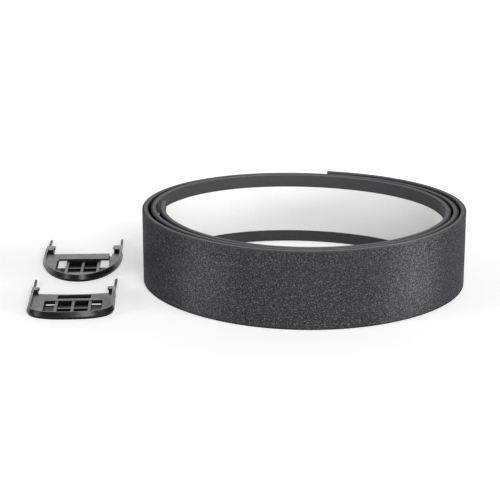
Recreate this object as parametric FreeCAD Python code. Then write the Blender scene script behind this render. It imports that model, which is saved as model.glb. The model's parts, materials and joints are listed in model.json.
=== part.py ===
"""Grip tape roll: a cushioned racket grip strip wound on its edge, and the two end clips that come with it.

Millimetres, +Z up, everything stands on z = 0. The strip is wound about a vertical axis. Its layers, from
the outside of the winding to the inside, are the grip face, the cushion backing, the adhesive strip and the
release liner. The origin is the middle of the base of the whole kit's bounding box.
"""
import FreeCAD, Part
import math
import os

# ---- the strip ----
STRIP_WIDTH = 25.0
FACE_T = 0.60
BACKING_T = 1.15
ADHESIVE_T = 0.10
LINER_T = 0.10
STRIP_T = FACE_T + BACKING_T + ADHESIVE_T + LINER_T
FACE_INSET = 0.15            # the face stops this far short of the backing's two edges
LINER_Z = (4.2, 20.6)        # the liner's lower and upper edge
ADHESIVE_Z = (4.6, 20.2)     # the adhesive stops just inside the liner

# ---- the winding ----
INNER_RADIUS = 45.60         # mean radius of the innermost surface where the winding starts
WOUND_DEG = 987.0            # inner end to outer end
START_AZIMUTH = 171.0        # the inner end is on the left, and the strip runs anticlockwise from there
SHAPE = ((1, 0.98, 244.0), (2, 1.05, -45.5), (3, 0.72, 19.0))   # lobes, amplitude, direction of a lobe
LEAST_GAP = 0.06             # air between two wraps where they look closed
LEFT_GAP = (0.83, 185.0, 8)  # widest air gap, its azimuth, and how narrow the opening is (an exponent)
RIGHT_GAP = (0.64, 25.0, 4)
CURVE_STEP_DEG = 9.0         # spacing of the points that the spiral curves pass through

# ---- the stretches that move ----
TAIL_DEG = 55.0              # the outer end that lifts off the roll
TAB_DEG = 15.0               # the liner's inner end that peels off the adhesive
TAB_CLEARANCE = 0.02

# ---- the end clips ----
CLIP_WIDTH = 27.6            # across the rim where it is fullest
CLIP_WALL = 1.2              # the rim's fullest line to its inner face
RIM_FULL_HEIGHT = 0.9        # the rim is fullest at this height
RIM_FOOT_TUCK = 0.45         # how far its foot and its top are drawn in from there
RIM_TOP_LEAN = 0.65
RIM_HEIGHT = 2.4
ARM_T = 0.75
PLATE_HEIGHT = 1.4
POCKET_FLOOR = 0.35
POCKET_WIDTH = 18.4
POCKET_MARGIN = 2.2          # rim's outside to the pocket, where the nose curves in
RIB_X = (-5.3, 0.0, 5.3)
RIB_T = 0.9
RIB_HEIGHT = 1.3
CROSS_RIB_HEIGHT = 0.9
BAR_WIDTH = 17.0
REAR_BEVEL = (2.0, 0.6)      # length and drop of the slope behind a raised crossbar
ARM_HEIGHT = 0.8
BARB_REACH = 0.4

ROUND_CLIP = {
    "nose": (25.0, 2.0), "back": 29.0, "tip": 50.0, "splay": -0.2,
    "pocket": (6.5, 20.6), "offset": 0.6, "window": (5.2, 4.6), "bar_height": 2.0, "bar_underside": 1.45,
    "slot": None, "rear_bow": None, "rear_notch": ((9.1, 10.1), (25.6, 30.0)),
    "hook": (30.8, 36.0, 2.0), "place": (-74.7, -4.4, 2.6),
}
SQUARE_CLIP = {
    "nose": (9.0, 2.6), "back": 22.6, "tip": 40.7, "splay": 0.4,
    "pocket": (3.0, 15.3), "offset": 0.6, "window": (1.6, 0.6), "bar_height": PLATE_HEIGHT, "bar_underside": 0.8,
    "slot": (17.3, 21.0), "rear_bow": (0.9, 10.6), "rear_notch": None,
    "hook": (23.8, 26.8, 1.2), "place": (-73.45, -43.6, 3.0),
}


# ---- the spiral ----
def bump(azimuth, centre_deg, power):
    return ((1 + math.cos(azimuth - math.radians(centre_deg))) / 2) ** power


def air_gap(azimuth):
    """Air between one wrap and the next, which opens at the left and a little at the right."""
    left, left_at, left_power = LEFT_GAP
    right, right_at, right_power = RIGHT_GAP
    return LEAST_GAP + left * bump(azimuth, left_at, left_power) + right * bump(azimuth, right_at, right_power)


def inner_radius(turned):
    """Radius of the strip's inner surface, after `turned` degrees of winding."""
    azimuth = math.radians(START_AZIMUTH + turned)
    lobes = sum(size * math.cos(n * (azimuth - math.radians(toward))) for n, size, toward in SHAPE)
    return INNER_RADIUS + lobes + (STRIP_T + air_gap(azimuth)) * turned / 360.0


def spiral_point(turned, depth, z=0.0):
    """A point `depth` outside the strip's inner surface."""
    azimuth = math.radians(START_AZIMUTH + turned)
    r = inner_radius(turned) + depth
    return FreeCAD.Vector(r * math.cos(azimuth), r * math.sin(azimuth), z)


def spiral_curve(depth):
    """One spiral curve at a constant depth in the strip, with the winding angle as its parameter."""
    steps = math.ceil(WOUND_DEG / CURVE_STEP_DEG)
    turns = [WOUND_DEG * i / steps for i in range(steps + 1)]
    curve = Part.BSplineCurve()
    curve.interpolate(Points=[spiral_point(a, depth) for a in turns], Parameters=turns)
    return curve


def layer(inner_curve, outer_curve, start, end, z_low, z_high):
    """The stretch of one layer between two winding angles."""
    inner = inner_curve.toShape(start, end)
    outer = outer_curve.toShape(start, end)
    ends = [Part.makeLine(inner_curve.value(a), outer_curve.value(a)) for a in (start, end)]
    outline = Part.Wire(Part.sortEdges([inner, ends[1], outer, ends[0]])[0])
    solid = Part.Face(outline).extrude(FreeCAD.Vector(0, 0, z_high - z_low))
    solid.translate(FreeCAD.Vector(0, 0, z_low))
    return solid


def wound_strip():
    tail_start = WOUND_DEG - TAIL_DEG
    liner_in = spiral_curve(0.0)
    tab_out = spiral_curve(LINER_T - TAB_CLEARANCE)
    adhesive_in = spiral_curve(LINER_T)
    backing_in = spiral_curve(LINER_T + ADHESIVE_T)
    face_in = spiral_curve(LINER_T + ADHESIVE_T + BACKING_T)
    face_out = spiral_curve(STRIP_T)
    backing_z = (0.0, STRIP_WIDTH)
    face_z = (FACE_INSET, STRIP_WIDTH - FACE_INSET)
    return {
        "grip_face": layer(face_in, face_out, 0, tail_start, *face_z),
        "grip_face_tail": layer(face_in, face_out, tail_start, WOUND_DEG, *face_z),
        "cushion_backing": layer(backing_in, face_in, 0, tail_start, *backing_z),
        "cushion_backing_tail": layer(backing_in, face_in, tail_start, WOUND_DEG, *backing_z),
        "adhesive_strip": layer(adhesive_in, backing_in, 0, tail_start, *ADHESIVE_Z),
        "adhesive_strip_tail": layer(adhesive_in, backing_in, tail_start, WOUND_DEG, *ADHESIVE_Z),
        "release_liner": layer(liner_in, adhesive_in, TAB_DEG, tail_start, *LINER_Z),
        "release_liner_tail": layer(liner_in, adhesive_in, tail_start, WOUND_DEG, *LINER_Z),
        "release_liner_tab": layer(liner_in, tab_out, 0, TAB_DEG, *LINER_Z),
    }


# ---- the end clips, drawn with the nose at the origin and the arms along +Y ----
def block(x, y, z):
    """A box between pairs of limits."""
    return Part.makeBox(x[1] - x[0], y[1] - y[0], z[1] - z[0], FreeCAD.Vector(x[0], y[0], z[0]))


def prism(corners, run):
    """A prism from plane corners, drawn out along a vector."""
    return Part.Face(Part.makePolygon(corners + corners[:1])).extrude(run)


def clip_outline(shrink, nose, back, z):
    """The rim's plan outline, drawn in by `shrink`: a rounded nose and two straight sides."""
    depth, power = nose
    half = CLIP_WIDTH / 2 - shrink
    reach = depth - shrink
    quarter_steps = 8
    points = []
    for i in range(-quarter_steps, quarter_steps + 1):
        turn = math.radians(90.0 * i / quarter_steps)
        x = math.copysign(half * abs(math.sin(turn)) ** (2 / power), turn)
        points.append(FreeCAD.Vector(x, depth - reach * math.cos(turn) ** (2 / power), z))
    curve = Part.BSplineCurve()
    curve.interpolate(points)
    right = FreeCAD.Vector(half, back, z)
    left = FreeCAD.Vector(-half, back, z)
    sides = [Part.makeLine(points[-1], right), Part.makeLine(right, left), Part.makeLine(left, points[0])]
    return Part.Wire([curve.toShape()] + sides)


def clip_form(levels, nose, back):
    """A solid through a stack of outlines, each given as (shrink, z)."""
    wires = [clip_outline(shrink, nose, back, z) for shrink, z in levels]
    return Part.makeLoft(wires, True, True)


def arm(clip):
    """The right arm: as high as the rim beside the hook, then a low thin leg out to the tip."""
    back, tip, splay = clip["back"], clip["tip"], clip["splay"]
    hook_end = clip["hook"][1]
    outside = CLIP_WIDTH / 2 - RIM_FOOT_TUCK
    root = back - 1.5
    up = FreeCAD.Vector(0, 0, RIM_HEIGHT)
    plan = [(outside - ARM_T, root), (outside, root), (outside + splay, tip), (outside + splay - ARM_T, tip)]
    solid = prism([FreeCAD.Vector(x, y, 0) for x, y in plan], up)
    slope = [(root, 0), (tip, 0), (tip, ARM_HEIGHT * 0.8), (hook_end + 2.0, ARM_HEIGHT),
             (hook_end, RIM_HEIGHT), (root, RIM_HEIGHT)]
    return solid.common(prism([FreeCAD.Vector(0, y, z) for y, z in slope], FreeCAD.Vector(CLIP_WIDTH, 0, 0)))


def hook(limits):
    """The right snap hook: a post against the arm, with a barb along its top inner edge."""
    start, end, width = limits
    outside = CLIP_WIDTH / 2 - RIM_FOOT_TUCK - ARM_T / 2
    inside = outside - ARM_T / 2 - width
    post = block((inside, outside), (start, end), (0, RIM_HEIGHT))
    barb_start = start + 0.45 * (end - start)
    section = [(inside, PLATE_HEIGHT), (inside - BARB_REACH, PLATE_HEIGHT + 0.3),
               (inside - BARB_REACH, RIM_HEIGHT - 0.2), (inside, RIM_HEIGHT)]
    barb = prism([FreeCAD.Vector(x, barb_start, z) for x, z in section], FreeCAD.Vector(0, end - barb_start, 0))
    return post.fuse(barb)


def mirrored(solid):
    return solid.mirror(FreeCAD.Vector(0, 0, 0), FreeCAD.Vector(1, 0, 0))


def end_clip(clip):
    nose, back = clip["nose"], clip["back"]
    front, bar = clip["pocket"]
    middle = clip["offset"]
    half = POCKET_WIDTH / 2
    overshoot = 1.0

    rim = [(RIM_FOOT_TUCK, 0), (0, RIM_FULL_HEIGHT), (RIM_TOP_LEAN, RIM_HEIGHT)]
    plate = clip_form(rim, nose, back)
    tray = [(CLIP_WALL, PLATE_HEIGHT), (CLIP_WALL, RIM_HEIGHT + overshoot)]
    plate = plate.cut(clip_form(tray, nose, back + overshoot))
    pocket = clip_form([(POCKET_MARGIN, POCKET_FLOOR), (POCKET_MARGIN, RIM_HEIGHT)], nose, back)
    plate = plate.cut(pocket.common(block((middle - half, middle + half), (front, bar), (0, RIM_HEIGHT))))

    before_bar, under_bar = clip["window"]
    inner, outer = RIB_X[2] + RIB_T / 2, half - 0.4
    for limits in ((middle + inner, middle + outer), (middle - outer, middle - inner)):
        plate = plate.cut(block(limits, (bar - before_bar, bar + under_bar), (-overshoot, clip["bar_underside"])))
    if clip["slot"]:
        plate = plate.cut(block((middle + RIB_X[0], middle + RIB_X[2]), clip["slot"], (-overshoot, RIM_HEIGHT)))
    if clip["rear_bow"]:
        sag, half_chord = clip["rear_bow"]
        radius = (half_chord ** 2 + sag ** 2) / (2 * sag)
        centre = FreeCAD.Vector(0, back - sag + radius, -overshoot)
        plate = plate.cut(Part.makeCylinder(radius, RIM_HEIGHT + 2 * overshoot, centre))
    if clip["rear_notch"]:
        x, y = clip["rear_notch"]
        plate = plate.cut(block(x, y, (-overshoot, RIM_HEIGHT + overshoot)))

    pieces = []
    for x in RIB_X:
        side = (middle + x - RIB_T / 2, middle + x + RIB_T / 2)
        pieces.append(block(side, (front - 0.5, bar + 0.5), (0, RIB_HEIGHT)))
    cross = front + 0.45 * (bar - front)
    pieces.append(block((middle + RIB_X[0], middle + RIB_X[2]), (cross, cross + RIB_T), (0, CROSS_RIB_HEIGHT)))
    if clip["bar_height"] > PLATE_HEIGHT:
        run, drop = REAR_BEVEL
        top, bottom, width = clip["bar_height"], clip["bar_underside"], BAR_WIDTH
        side = [(bar, bottom), (bar, top), (back - run, top), (back, top - drop), (back, PLATE_HEIGHT - 0.3),
                (bar + under_bar + 0.3, PLATE_HEIGHT - 0.3), (bar + under_bar + 0.3, bottom)]
        start = FreeCAD.Vector(middle - width / 2, 0, 0)
        bar_solid = prism([FreeCAD.Vector(0, y, z) + start for y, z in side], FreeCAD.Vector(width, 0, 0))
        pieces.append(bar_solid)
    for side in (arm(clip), hook(clip["hook"])):
        pieces += [side, mirrored(side)]
    solid = plate.fuse(pieces).removeSplitter()

    x, y, yaw = clip["place"]
    solid.rotate(FreeCAD.Vector(0, 0, 0), FreeCAD.Vector(0, 0, 1), yaw)
    solid.translate(FreeCAD.Vector(x, y, 0))
    return solid


# ---- put the kit together and write it ----
def main():
    nodes = wound_strip()
    nodes["end_clip_round"] = end_clip(ROUND_CLIP)
    nodes["end_clip_square"] = end_clip(SQUARE_CLIP)

    whole = Part.makeCompound(list(nodes.values())).optimalBoundingBox()
    shift = FreeCAD.Vector(-whole.Center.x, -whole.Center.y, 0)
    os.makedirs("parts", exist_ok=True)
    for name, shape in nodes.items():
        solids = shape.Solids
        if len(solids) != 1 or not shape.isValid():
            raise RuntimeError(f"{name}: {len(solids)} solids, valid {shape.isValid()}")
        solid = solids[0]
        solid.translate(shift)
        solid.exportStep(f"parts/{name}.step")
        box = solid.optimalBoundingBox()
        print(f"{name:22s} {solid.Volume:9.1f} mm3  x {box.XMin:.2f} {box.XMax:.2f}"
              f"  y {box.YMin:.2f} {box.YMax:.2f}  z {box.ZMin:.2f} {box.ZMax:.2f}")

    places = {"roll axis": FreeCAD.Vector(0, 0, 0),
              "tail hinge": spiral_point(WOUND_DEG - TAIL_DEG, STRIP_T),
              "liner tab hinge": spiral_point(TAB_DEG, 0.0),
              "outer end": spiral_point(WOUND_DEG, STRIP_T),
              "rest point": spiral_point(90.0, LINER_T + ADHESIVE_T + BACKING_T / 2)}
    for name, place in places.items():
        place = place + shift
        print(f"{name}: {place.x:.4f} {place.y:.4f} {place.z:.4f}")


main()
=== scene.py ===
"""Looks of the grip tape roll: a cushioned grip strip wound on its edge, and its two end clips.

The strip's layers are swept again here along the CAD's own spiral, finely enough to carry a real grain
and rounded edges. Sizes are in millimetres until a mesh is made, in metres.
"""
import json
import math

import bmesh
import bpy
import numpy as np
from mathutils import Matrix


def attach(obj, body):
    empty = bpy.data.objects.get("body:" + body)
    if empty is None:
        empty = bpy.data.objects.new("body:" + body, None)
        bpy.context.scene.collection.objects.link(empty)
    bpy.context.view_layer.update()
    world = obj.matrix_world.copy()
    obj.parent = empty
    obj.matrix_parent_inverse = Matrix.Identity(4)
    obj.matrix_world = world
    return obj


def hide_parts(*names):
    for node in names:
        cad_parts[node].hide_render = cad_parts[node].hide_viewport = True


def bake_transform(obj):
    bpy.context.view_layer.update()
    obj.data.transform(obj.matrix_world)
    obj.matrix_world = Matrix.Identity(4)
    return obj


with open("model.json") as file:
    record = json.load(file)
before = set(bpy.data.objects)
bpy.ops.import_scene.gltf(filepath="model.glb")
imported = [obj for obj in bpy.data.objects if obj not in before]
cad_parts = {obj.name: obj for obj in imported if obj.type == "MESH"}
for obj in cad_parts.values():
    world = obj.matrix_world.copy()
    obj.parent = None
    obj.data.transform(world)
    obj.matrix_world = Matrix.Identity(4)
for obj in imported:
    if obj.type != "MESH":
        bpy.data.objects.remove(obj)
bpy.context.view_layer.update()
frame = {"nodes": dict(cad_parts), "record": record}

MM = 0.001

# ---- the strip and its winding, as the CAD has them ----
STRIP_WIDTH = 25.0
LINER_T = 0.10
ADHESIVE_T = 0.10
BACKING_T = 1.15
FACE_T = 0.60
STRIP_T = LINER_T + ADHESIVE_T + BACKING_T + FACE_T
FACE_INSET = 0.15
LINER_Z = (4.2, 20.6)
ADHESIVE_Z = (4.6, 20.2)
INNER_RADIUS = 45.60
START_AZIMUTH = 171.0
SHAPE = ((1, 0.98, 244.0), (2, 1.05, -45.5), (3, 0.72, 19.0))
LEAST_GAP = 0.06
LEFT_GAP = (0.83, 185.0, 8)
RIGHT_GAP = (0.64, 25.0, 4)

# ---- how the sweep is cut: every cut is on a column of one common grid ----
STEP_DEG = 0.6
COLUMNS = 1645                # 987 degrees of winding
TAIL_COLUMN = 1552            # 0.8 degrees before the hinge of the outer end
TAB_COLUMN = 26               # 0.6 degrees past the hinge of the liner's tab
EDGE_WAVE = 0.22              # how far a wrap's upper edge rises and falls
END_RISE = 0.45               # how far the outer end has crept up past the wraps under it
END_RISE_FROM = 849.0         # the winding angle where it starts to
END_RISE_OVER = 75.0          # and the winding it takes to get there
GRAIN_DEPTH = 0.022           # how deep the face's pebbles are
FACE_CORNER = 0.28            # the rounding of the face's outer edges
CUSHION_CORNER = 0.22         # the rounding of the cushion's inner edges
CLIP_CORNER = 0.12            # the rounding of the clips' edges
STRIP_SHARP_DEG = 40
CLIP_SHARP_DEG = 30


def mount(name):
    """The place of one of the record's mounts, in metres."""
    found = [m for m in frame["record"]["mounts"] if m["name"] == name]
    return found[0]["pos_m"]


AXIS_X, AXIS_Y, _ = mount("core")


# ---- meshes ----
def bump(azimuth, centre_deg, power):
    """1 at one azimuth, falling to 0 on the far side; a higher power makes it narrower."""
    return ((1 + np.cos(azimuth - math.radians(centre_deg))) / 2) ** power


def inner_radius(turned):
    """The radius of the strip's inner side, in millimetres, at a winding angle in degrees."""
    azimuth = np.radians(START_AZIMUTH + turned)
    lobes = sum(size * np.cos(n * (azimuth - math.radians(toward))) for n, size, toward in SHAPE)
    left, left_at, left_power = LEFT_GAP
    right, right_at, right_power = RIGHT_GAP
    gap = LEAST_GAP + left * bump(azimuth, left_at, left_power)
    gap = gap + right * bump(azimuth, right_at, right_power)
    return INNER_RADIUS + lobes + (STRIP_T + gap) * turned / 360.0


def arc_length():
    """How far along the strip's outer side each column of the grid is, in millimetres."""
    turned = np.arange(COLUMNS + 1) * STEP_DEG
    r = inner_radius(turned) + STRIP_T
    azimuth = np.radians(turned)
    steps = np.hypot(np.diff(r * np.cos(azimuth)), np.diff(r * np.sin(azimuth)))
    return np.concatenate([[0.0], np.cumsum(steps)])


ARC = arc_length()


def edge_rise(turned, along):
    """How far the strip's upper edge stands above or below its true height, in millimetres."""
    wave = 0.25 * np.sin(along / 23.0 + 0.4) + 0.25 * np.sin(along / 61.0 + 2.1) - 0.5
    share = np.clip((turned - END_RISE_FROM) / END_RISE_OVER, 0, 1)
    return EDGE_WAVE * wave + END_RISE * share * share * (3 - 2 * share)


def smooth_noise(seed, shape, passes):
    """Random heights from -1 to 1 or so, blurred over their neighbours."""
    field = np.random.default_rng(seed).standard_normal(shape)
    for _ in range(passes):
        for axis in (0, 1):
            field = (np.roll(field, 1, axis) + 2 * field + np.roll(field, -1, axis)) / 4
    return field / field.std()


def profile(depths, heights, rows, corner, round_inner, round_outer):
    """The outline of a layer's section as (depth, z), from its lower inner corner up the inner side."""
    inner, outer = depths
    low, high = heights
    quarter = [math.radians(a) for a in (0, 30, 60, 90)]
    ri = corner if round_inner else 0.0
    ro = corner if round_outer else 0.0
    points = []
    inside = np.linspace(low + ri, high - ri, rows[0] + 1)
    outside = np.linspace(high - ro, low + ro, rows[1] + 1)
    points += [(inner, z) for z in inside]
    if ri:
        points += [(inner + ri * (1 - math.cos(a)), high - ri + ri * math.sin(a)) for a in quarter[1:]]
    if ro:
        points += [(outer - ro * (1 - math.sin(a)), high - ro + ro * math.cos(a)) for a in quarter[:-1]]
    points += [(outer, z) for z in outside]
    if ro:
        points += [(outer - ro * (1 - math.cos(a)), low + ro - ro * math.sin(a)) for a in quarter[1:]]
    if ri:
        points += [(inner + ri * (1 - math.sin(a)), low + ri - ri * math.cos(a)) for a in quarter[:-1]]
    kept = [points[0]]
    for p in points[1:]:
        if math.dist(p, kept[-1]) > 1e-6:
            kept.append(p)
    if math.dist(kept[0], kept[-1]) < 1e-6:
        kept.pop()
    return np.array(kept)


def wound(name, section, first, last, relief=None):
    """Sweeps a section along the spiral between two columns, and closes both ends."""
    count = len(section)
    columns = np.arange(first, last + 1)
    turned = columns[:, None] * STEP_DEG
    depth = np.repeat(section[None, :, 0], len(columns), 0)
    height = np.repeat(section[None, :, 1], len(columns), 0)
    if relief is not None:
        depth = depth + relief[first:last + 1]
    along = ARC[columns][:, None]
    lifted = height * (1 + edge_rise(turned, along) / STRIP_WIDTH)
    azimuth = np.radians(START_AZIMUTH + turned)
    r = inner_radius(turned) + depth
    x = AXIS_X + r * np.cos(azimuth) * MM
    y = AXIS_Y + r * np.sin(azimuth) * MM
    places = np.stack([x, y, lifted * MM], -1).reshape(-1, 3)

    ring = np.arange(count)
    here = (np.arange(len(columns) - 1) * count)[:, None]
    a = here + ring
    b = here + (ring + 1) % count
    quads = np.stack([a, b, b + count, a + count], -1).reshape(-1, 4)
    top = (len(columns) - 1) * count
    faces = quads.tolist() + [list(range(count - 1, -1, -1)), [top + i for i in range(count)]]
    mesh = bpy.data.meshes.new(name)
    mesh.from_pydata(places.tolist(), [], faces)
    flat = np.stack([np.repeat(along, count, 1), depth, height], -1).reshape(-1, 3)
    strip = mesh.attributes.new("strip", "FLOAT_VECTOR", "POINT")
    strip.data.foreach_set("vector", flat.astype(np.float32).ravel())
    return finished(name, mesh, STRIP_SHARP_DEG)


def finished(name, mesh, sharp_deg):
    """Links a mesh as an object, with outward normals, smooth faces and sharp edges past an angle."""
    shape = bmesh.new()
    shape.from_mesh(mesh)
    bmesh.ops.recalc_face_normals(shape, faces=shape.faces)
    shape.to_mesh(mesh)
    shape.free()
    mesh.shade_smooth()
    mesh.set_sharp_from_angle(angle=math.radians(sharp_deg))
    made = bpy.data.objects.new(name, mesh)
    bpy.context.scene.collection.objects.link(made)
    return made


def face_relief(section):
    """The pebbled grain on the outer side of the face, as extra depth for each column and point."""
    outer = section[:, 0] > section[:, 0].max() - 1e-6
    grain = smooth_noise(11, (COLUMNS + 1, len(section)), 1)
    swell = smooth_noise(12, (COLUMNS + 1, len(section)), 9)
    relief = -GRAIN_DEPTH * np.clip(0.7 * grain + 0.5 * swell + 1.2, 0, 3.0)
    return relief * outer[None, :]


# ---- nodes ----
class Nodes:
    """A short way to write a material's nodes."""

    def __init__(self, name):
        self.material = bpy.data.materials.new(name)
        self.material.use_nodes = True
        self.tree = self.material.node_tree
        self.shader = self.tree.nodes["Principled BSDF"]

    def plug(self, value, socket):
        if isinstance(value, bpy.types.NodeSocket):
            self.tree.links.new(value, socket)
        else:
            socket.default_value = value

    def add(self, kind, inputs=(), **settings):
        node = self.tree.nodes.new(kind)
        for key, value in settings.items():
            setattr(node, key, value)
        for key, value in dict(inputs).items():
            self.plug(value, node.inputs[key])
        return node

    def math(self, operation, a, b=0.0):
        return self.add("ShaderNodeMath", {0: a, 1: b}, operation=operation).outputs[0]

    def stretch(self, vector, scale):
        node = self.add("ShaderNodeVectorMath", {0: vector, 1: scale}, operation="MULTIPLY")
        return node.outputs[0]

    def noise(self, vector, scale, detail=2.0, roughness=0.5):
        inputs = {"Vector": vector, "Scale": scale, "Detail": detail, "Roughness": roughness}
        return self.add("ShaderNodeTexNoise", inputs).outputs[0]

    def cells(self, vector, scale, output="Distance"):
        node = self.add("ShaderNodeTexVoronoi", {"Vector": vector, "Scale": scale})
        return node.outputs[output]

    def spread(self, value, low, high, to_low=0.0, to_high=1.0):
        inputs = {"Value": value, "From Min": low, "From Max": high}
        inputs.update({"To Min": to_low, "To Max": to_high})
        return self.add("ShaderNodeMapRange", inputs).outputs[0]

    def mix(self, share, a, b):
        node = self.tree.nodes.new("ShaderNodeMix")
        node.data_type = "RGBA"
        self.plug(share, node.inputs[0])
        self.plug(a, node.inputs[6])
        self.plug(b, node.inputs[7])
        return node.outputs[2]

    def bump(self, height, strength, distance, normal=None):
        inputs = {"Height": height, "Strength": strength, "Distance": distance}
        node = self.add("ShaderNodeBump", inputs)
        if normal is not None:
            self.plug(normal, node.inputs["Normal"])
        return node.outputs[0]

    def finish(self, **sockets):
        for key, value in sockets.items():
            self.plug(value, self.shader.inputs[key.replace("_", " ")])
        return self.material


def rgb(r, g, b):
    return (r, g, b, 1.0)


def strip_place(nodes):
    """The place on the unrolled strip in millimetres: along it, into it, and up it."""
    return nodes.add("ShaderNodeAttribute", attribute_name="strip").outputs["Vector"]


def split(nodes, vector):
    node = nodes.add("ShaderNodeSeparateXYZ", {0: vector})
    return node.outputs


def edge_share(nodes, height, width):
    """1 at the strip's two long edges, falling to 0 over a width in millimetres."""
    middle = nodes.math("SUBTRACT", height, STRIP_WIDTH / 2)
    away = nodes.math("ABSOLUTE", middle)
    return nodes.spread(away, STRIP_WIDTH / 2 - width, STRIP_WIDTH / 2)


def face_material():
    """Charcoal grip film: fine pebbled grain, pale specks, slow changes of tone, a painted highlight
    along the top edge and painted shade along the bottom edge.
    """
    n = Nodes("grip_face")
    place = strip_place(n)
    height = split(n, place)[2]
    grain = n.noise(place, 2.1, 3.0, 0.62)
    fine = n.noise(place, 5.2, 2.0, 0.55)
    cells = n.cells(place, 2.6)
    chance = split(n, n.cells(place, 2.9, "Color"))[0]
    dot = n.spread(n.cells(place, 2.9), 0.62, 0.30)
    speck = n.math("MULTIPLY", n.spread(chance, 0.62, 0.98), dot)
    tone = n.noise(n.stretch(place, (0.02, 0.0, 0.09)), 1.0, 2.0, 0.5)
    body = n.mix(n.spread(grain, 0.40, 0.66), rgb(0.012, 0.0125, 0.0140), rgb(0.052, 0.053, 0.059))
    body = n.mix(speck, body, rgb(0.114, 0.117, 0.127))
    body = n.mix(n.spread(tone, 0.35, 0.65, 0.0, 0.18), body, rgb(0.032, 0.035, 0.040))
    # Painted highlight: the upper long edge is lightened as if it caught the light; the lower edge gets
    # none of it.
    upper_edge_highlight = n.math("MULTIPLY", edge_share(n, height, 0.45), n.spread(height, 2.0, 4.0, 0.0, 0.8))
    colour = n.mix(upper_edge_highlight, body, rgb(0.108, 0.108, 0.115))
    # Painted shade: the lowest 0.9 mm of the strip is darkened to near black, as a contact shadow where
    # it stands on the floor.
    colour = n.mix(n.spread(height, 0.9, 0.3, 0.0, 0.75), colour, rgb(0.006, 0.006, 0.007))
    relief = n.math("ADD", n.math("MULTIPLY", grain, 0.6), n.math("MULTIPLY", cells, -0.5))
    relief = n.math("ADD", relief, n.math("MULTIPLY", fine, 0.35))
    rough = n.spread(fine, 0.3, 0.7, 0.40, 0.52)
    normal = n.bump(relief, 0.5, 0.0001)
    return n.finish(Base_Color=colour, Roughness=rough, Normal=normal, IOR=1.05)


def cushion_material():
    """Closed-cell foam backing: blue-grey, matt, with fine cells and a paler cut edge, made paler still
    as a painted highlight on the tops of the wraps.
    """
    n = Nodes("cushion")
    place = strip_place(n)
    height = split(n, place)[2]
    cells = n.cells(place, 3.4)
    grain = n.noise(place, 2.4, 3.0, 0.6)
    tone = n.noise(n.stretch(place, (0.03, 0.0, 0.12)), 1.0, 2.0, 0.5)
    body = n.mix(n.spread(grain, 0.3, 0.7), rgb(0.024, 0.027, 0.031), rgb(0.042, 0.046, 0.052))
    body = n.mix(n.spread(tone, 0.35, 0.65, 0.0, 0.35), body, rgb(0.035, 0.033, 0.033))
    # The cut edge is paler partly as the foam's own colour and partly as a painted highlight for the lit
    # tops of the wraps.
    cut_edge_and_highlight = n.mix(n.spread(grain, 0.3, 0.7), rgb(0.130, 0.132, 0.139), rgb(0.200, 0.202, 0.210))
    colour = n.mix(edge_share(n, height, 0.30), body, cut_edge_and_highlight)
    relief = n.math("ADD", n.math("MULTIPLY", grain, 0.5), n.math("MULTIPLY", cells, 0.6))
    rough = n.spread(grain, 0.3, 0.7, 0.66, 0.82)
    normal = n.bump(relief, 0.45, 0.0001)
    return n.finish(Base_Color=colour, Roughness=rough, Normal=normal, Specular_IOR_Level=0.35)


def liner_material():
    """White release paper: satin silicone side, faint fibre, and gentle cockling from being wound."""
    n = Nodes("liner")
    place = strip_place(n)
    fibre = n.noise(n.stretch(place, (1.0, 1.0, 2.2)), 1.6, 4.0, 0.65)
    cockle = n.noise(n.stretch(place, (0.055, 0.0, 0.035)), 1.0, 1.5, 0.4)
    tone = n.noise(n.stretch(place, (0.02, 0.0, 0.05)), 1.0, 2.0, 0.5)
    body = n.mix(n.spread(fibre, 0.35, 0.65), rgb(0.74, 0.74, 0.73), rgb(0.81, 0.81, 0.805))
    colour = n.mix(n.spread(tone, 0.35, 0.65, 0.0, 0.4), body, rgb(0.78, 0.78, 0.75))
    rough = n.spread(fibre, 0.35, 0.65, 0.20, 0.28)
    slow = n.bump(cockle, 0.5, 0.0015)
    normal = n.bump(fibre, 0.12, 0.00005, slow)
    return n.finish(Base_Color=colour, Roughness=rough, Normal=normal)


def adhesive_material():
    """Tacky film: honey-grey, glossy, with the faint ripple it was coated with."""
    n = Nodes("adhesive")
    place = strip_place(n)
    ripple = n.noise(n.stretch(place, (0.35, 1.0, 1.3)), 1.0, 3.0, 0.55)
    fleck = n.noise(place, 1.8, 2.0, 0.5)
    body = n.mix(n.spread(ripple, 0.3, 0.7), rgb(0.19, 0.17, 0.13), rgb(0.27, 0.25, 0.20))
    colour = n.mix(n.spread(fleck, 0.62, 0.72, 0.0, 0.3), body, rgb(0.42, 0.40, 0.34))
    rough = n.spread(fleck, 0.3, 0.7, 0.16, 0.30)
    normal = n.bump(ripple, 0.4, 0.00008)
    return n.finish(Base_Color=colour, Roughness=rough, Normal=normal)


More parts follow.
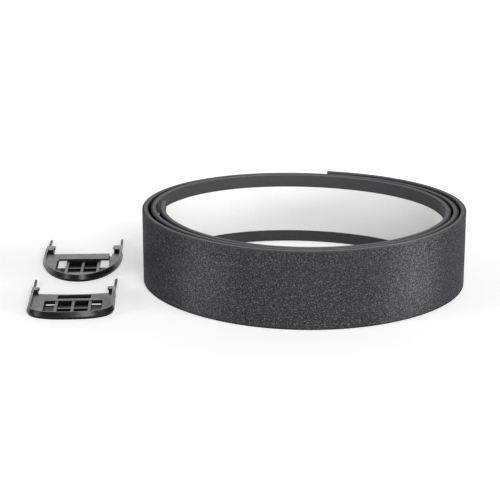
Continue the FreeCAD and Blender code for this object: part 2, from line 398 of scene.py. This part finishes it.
def clip_material():
    """Black moulded plastic: satin, with a painted highlight along its edges that is stronger on top,
    and duller low down.
    """
    n = Nodes("clip")
    place = n.stretch(n.add("ShaderNodeTexCoord").outputs["Object"], (1000.0, 1000.0, 1000.0))
    grain = n.noise(place, 4.5, 2.0, 0.6)
    cloud = n.noise(place, 0.22, 3.0, 0.55)
    body = n.mix(n.spread(grain, 0.3, 0.7), rgb(0.004, 0.004, 0.0042), rgb(0.009, 0.009, 0.0092))
    soft = n.add("ShaderNodeBevel", {"Radius": 0.00022}, samples=6).outputs[0]
    facing = n.add("ShaderNodeNewGeometry").outputs["Normal"]
    turn = n.add("ShaderNodeVectorMath", {0: soft, 1: facing}, operation="DOT_PRODUCT").outputs["Value"]
    height = split(n, place)[2]
    # Painted highlight: the edges are coloured grey as if catching the light, more strongly high on the
    # clip than low down.
    edge_highlight_by_height = n.spread(height, 0.82, 0.95, 0.1, 0.5)
    edge = n.math("MULTIPLY", n.spread(turn, 0.995, 0.90), edge_highlight_by_height)
    colour = n.mix(edge, body, rgb(0.050, 0.050, 0.051))
    shine = n.spread(height, 0.82, 0.95, 0.06, 0.35)
    rough = n.spread(cloud, 0.3, 0.7, 0.24, 0.34)
    normal = n.bump(grain, 0.15, 0.00006)
    return n.finish(Base_Color=colour, Roughness=rough, Normal=normal, Specular_IOR_Level=shine)


# ---- the pieces ----
def dress(piece, material, node):
    piece.data.materials.clear()
    piece.data.materials.append(material)
    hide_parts(node)


def tail_blend(piece):
    """Bakes the outer end's placement into its mesh, where the sweep left it."""
    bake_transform(piece)


def tab_blend(piece):
    """Bakes the liner tab's placement into its mesh, where the sweep left it."""
    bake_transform(piece)


def face_pieces():
    material = face_material()
    depths = (LINER_T + ADHESIVE_T + BACKING_T, STRIP_T)
    heights = (FACE_INSET, STRIP_WIDTH - FACE_INSET)
    section = profile(depths, heights, (2, 40), FACE_CORNER, False, True)
    relief = face_relief(section)
    main = wound("face_wound", section, 0, TAIL_COLUMN, relief)
    tail = wound("face_tail", section, TAIL_COLUMN, COLUMNS, relief)
    dress(main, material, "grip_face")
    dress(tail, material, "grip_face_tail")
    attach(main, "roll")
    tail_blend(tail)


def cushion_pieces():
    material = cushion_material()
    depths = (LINER_T + ADHESIVE_T, LINER_T + ADHESIVE_T + BACKING_T)
    section = profile(depths, (0.0, STRIP_WIDTH), (16, 2), CUSHION_CORNER, True, False)
    main = wound("cushion_wound", section, 0, TAIL_COLUMN)
    tail = wound("cushion_tail", section, TAIL_COLUMN, COLUMNS)
    dress(main, material, "cushion_backing")
    dress(tail, material, "cushion_backing_tail")
    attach(main, "roll")
    tail_blend(tail)


def adhesive_pieces():
    material = adhesive_material()
    section = profile((LINER_T, LINER_T + ADHESIVE_T), ADHESIVE_Z, (4, 2), 0.0, False, False)
    main = wound("adhesive_wound", section, 0, TAIL_COLUMN)
    tail = wound("adhesive_tail", section, TAIL_COLUMN, COLUMNS)
    dress(main, material, "adhesive_strip")
    dress(tail, material, "adhesive_strip_tail")
    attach(main, "roll")
    tail_blend(tail)


def liner_pieces():
    material = liner_material()
    section = profile((0.0, LINER_T), LINER_Z, (12, 2), 0.0, False, False)
    tab = wound("liner_tab", section, 0, TAB_COLUMN)
    main = wound("liner_wound", section, TAB_COLUMN, TAIL_COLUMN)
    tail = wound("liner_tail", section, TAIL_COLUMN, COLUMNS)
    dress(tab, material, "release_liner_tab")
    dress(main, material, "release_liner")
    dress(tail, material, "release_liner_tail")
    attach(main, "roll")
    tab_blend(tab)
    tail_blend(tail)


def clip_piece(name, node, body, material):
    """A copy of the CAD clip with its edges rounded as a mould leaves them."""
    shape = bmesh.new()
    shape.from_mesh(frame["nodes"][node].data)
    bmesh.ops.remove_doubles(shape, verts=shape.verts, dist=1e-6)
    bmesh.ops.dissolve_limit(shape, angle_limit=math.radians(1.0), verts=shape.verts, edges=shape.edges)
    mesh = bpy.data.meshes.new(name)
    shape.to_mesh(mesh)
    shape.free()
    piece = finished(name, mesh, CLIP_SHARP_DEG)
    soften = piece.modifiers.new("rounding", "BEVEL")
    soften.width = CLIP_CORNER * MM
    soften.segments = 2
    soften.limit_method = "ANGLE"
    soften.angle_limit = math.radians(CLIP_SHARP_DEG)
    soften.harden_normals = True
    dress(piece, material, node)
    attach(piece, body)


def clips():
    material = clip_material()
    clip_piece("clip_round", "end_clip_round", "round_clip", material)
    clip_piece("clip_square", "end_clip_square", "square_clip", material)


# ---- the studio ----
ROOM_GLOW = 0.05
WALL_GLOW = 1.4
FLOOR_GLOW = (0.52, 0.85)     # beside and in front of the roll, and behind it
FLOOR_SIDE = 4.0
LENS_MM = 109.92
CAMERA_TILT_DEG = 73.843
CAMERA_FROM_ROLL = (-0.017529, -0.490613, 0.152052)
LAMP_WHITE = (1.0, 1.0, 1.0)
LAMP_WARM = (1.0, 0.99, 0.97)
LAMP_COOL = (0.97, 0.99, 1.0)


def ramp_back(nodes, start, end, low, high):
    """A value that goes smoothly from low to high towards the back of the floor."""
    place = nodes.add("ShaderNodeTexCoord").outputs["Object"]
    inputs = {"Value": split(nodes, place)[1], "From Min": start, "From Max": end}
    inputs.update({"To Min": low, "To Max": high})
    return nodes.add("ShaderNodeMapRange", inputs, interpolation_type="SMOOTHSTEP").outputs[0]


def floor():
    """A white floor that glows a little, more behind the roll, where the lamps reach it less."""
    mesh = bpy.data.meshes.new("floor")
    s = FLOOR_SIDE
    corners = [(-s, -s, 0.0), (s, -s, 0.0), (s, s, 0.0), (-s, s, 0.0)]
    mesh.from_pydata(corners, [], [(0, 1, 2, 3)])
    made = bpy.data.objects.new("floor", mesh)
    bpy.context.scene.collection.objects.link(made)
    n = Nodes("floor")
    white = rgb(0.92, 0.92, 0.92)
    glow = ramp_back(n, AXIS_Y + 0.01, AXIS_Y + 0.12, *FLOOR_GLOW)
    made_of = n.finish(Base_Color=white, Roughness=0.9, Emission_Color=white, Emission_Strength=glow)
    mesh.materials.append(made_of)


def softbox(name, azimuth_deg, elevation_deg, distance, size, power, colour, height=0.0, spread_deg=180):
    """A soft light aimed at the roll. Azimuth 0 is in front, and positive is to the right."""
    light = bpy.data.lights.new(name, "AREA")
    light.shape = "RECTANGLE"
    light.size = size[0]
    light.size_y = size[1]
    light.energy = power
    light.color = colour
    light.spread = math.radians(spread_deg)
    made = bpy.data.objects.new(name, light)
    bpy.context.scene.collection.objects.link(made)
    azimuth = math.radians(azimuth_deg)
    elevation = math.radians(elevation_deg)
    across = distance * math.cos(elevation)
    rise = distance * math.sin(elevation)
    x = AXIS_X + across * math.sin(azimuth)
    y = AXIS_Y - across * math.cos(azimuth)
    made.location = (x, y, rise + height)
    made.rotation_euler = (math.pi / 2 - elevation, 0.0, azimuth)
    made.visible_camera = False


def ramp(tree, value, start, end, low, high):
    node = tree.nodes.new("ShaderNodeMapRange")
    tree.links.new(value, node.inputs["Value"])
    for key, value in (("From Min", start), ("From Max", end), ("To Min", low), ("To Max", high)):
        node.inputs[key].default_value = value
    return node.outputs[0]


def room():
    """A dim room with a pale wall behind the roll, which the clips' flat tops reflect."""
    world = bpy.data.worlds.new("studio")
    world.use_nodes = True
    tree = world.node_tree
    background = tree.nodes["Background"]
    background.inputs["Color"].default_value = rgb(1.0, 1.0, 1.0)
    direction = tree.nodes.new("ShaderNodeTexCoord").outputs["Generated"]
    parts = tree.nodes.new("ShaderNodeSeparateXYZ")
    tree.links.new(direction, parts.inputs[0])
    behind = ramp(tree, parts.outputs[1], 0.2, 0.6, 0.0, WALL_GLOW)
    low_down = ramp(tree, parts.outputs[2], 0.35, 0.7, 1.0, 0.0)
    wall = tree.nodes.new("ShaderNodeMath")
    wall.operation = "MULTIPLY_ADD"
    wall.inputs[2].default_value = ROOM_GLOW
    tree.links.new(behind, wall.inputs[0])
    tree.links.new(low_down, wall.inputs[1])
    tree.links.new(wall.outputs[0], background.inputs["Strength"])
    bpy.context.scene.world = world


def beam(name, azimuth_deg, power, spread_deg):
    """A narrow level beam, about as tall as the roll, that brightens one upright band of its face."""
    softbox(name, azimuth_deg, 0.0, 0.3, (0.016, 0.03), power, LAMP_WHITE, 0.012, spread_deg)


def lights():
    """A broad front light, and on each side a low light for the grain and a beam for the sheen."""
    softbox("front", 14.0, 20.0, 1.0, (0.3, 0.5), 6.8, LAMP_WHITE)
    softbox("low_right", 55.0, 9.0, 0.8, (0.2, 0.18), 4.2, LAMP_WARM)
    softbox("low_left", -62.0, 9.0, 0.8, (0.2, 0.18), 2.6, LAMP_COOL)
    beam("beam_right", 39.0, 0.0028, 6.0)
    beam("beam_left", -38.0, 0.0014, 6.0)


def camera():
    lens = bpy.data.cameras.new("camera")
    lens.sensor_width = 36.0
    lens.lens = LENS_MM
    made = bpy.data.objects.new("camera", lens)
    bpy.context.scene.collection.objects.link(made)
    across, away, up = CAMERA_FROM_ROLL
    made.location = (AXIS_X + across, AXIS_Y + away, up)
    made.rotation_euler = (math.radians(CAMERA_TILT_DEG), 0.0, 0.0)
    bpy.context.scene.camera = made


camera()
face_pieces()
cushion_pieces()
adhesive_pieces()
liner_pieces()
clips()
floor()
room()
lights()
bpy.context.scene.view_settings.view_transform = "Standard"
